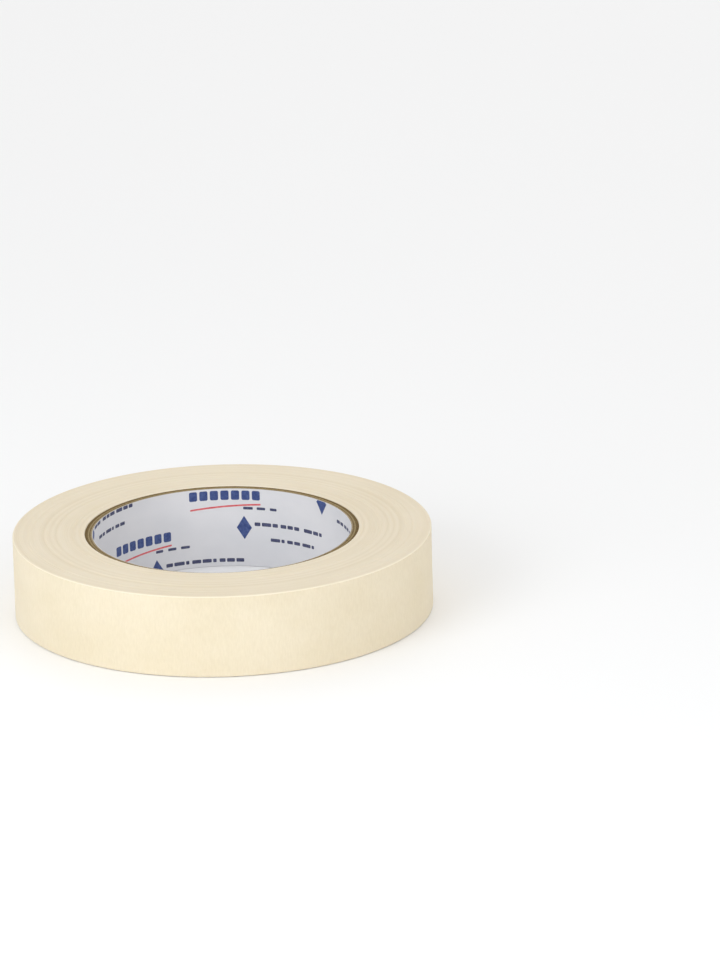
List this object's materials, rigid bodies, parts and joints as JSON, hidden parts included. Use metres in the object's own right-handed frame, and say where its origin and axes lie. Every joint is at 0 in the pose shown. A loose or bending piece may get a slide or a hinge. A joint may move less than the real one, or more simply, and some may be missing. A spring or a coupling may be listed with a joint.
{
  "type": "masking tape roll",
  "caption": "Roll of crepe paper masking tape wound on a thin spiral paper core with a printed liner; the free end of the tape peels up on a hinge.",
  "frame": {"origin": "centre of the lower side face of the roll, on the surface that it lies on", "axes": "+Z along the roll's axis, upwards; the free end of the tape lifts near +X, and the tape is wound counter-clockwise seen from above"},
  "size_m": [0.1247, 0.1247, 0.025],
  "materials": {
    "liner_paper": "satin",
    "kraft_board": "matte",
    "crepe_tape": "matte"
  },
  "bodies": {
    "roll": {"core_liner": "liner_paper", "core_ply_1": "kraft_board", "core_ply_2": "kraft_board", "core_ply_3": "kraft_board", "core_ply_4": "kraft_board", "core_ply_5": "kraft_board", "wound_tape": "crepe_tape"},
    "tape_end": {"tape_end": "crepe_tape"}
  },
  "joints": [
    {"name": "tape_end_peel", "type": "hinge", "parent": "roll", "child": "tape_end", "pos_m": [0.0618, 0.00869, 0.0125], "axis": [0, 0, -1], "range_deg": [0, 120]}
  ]
}
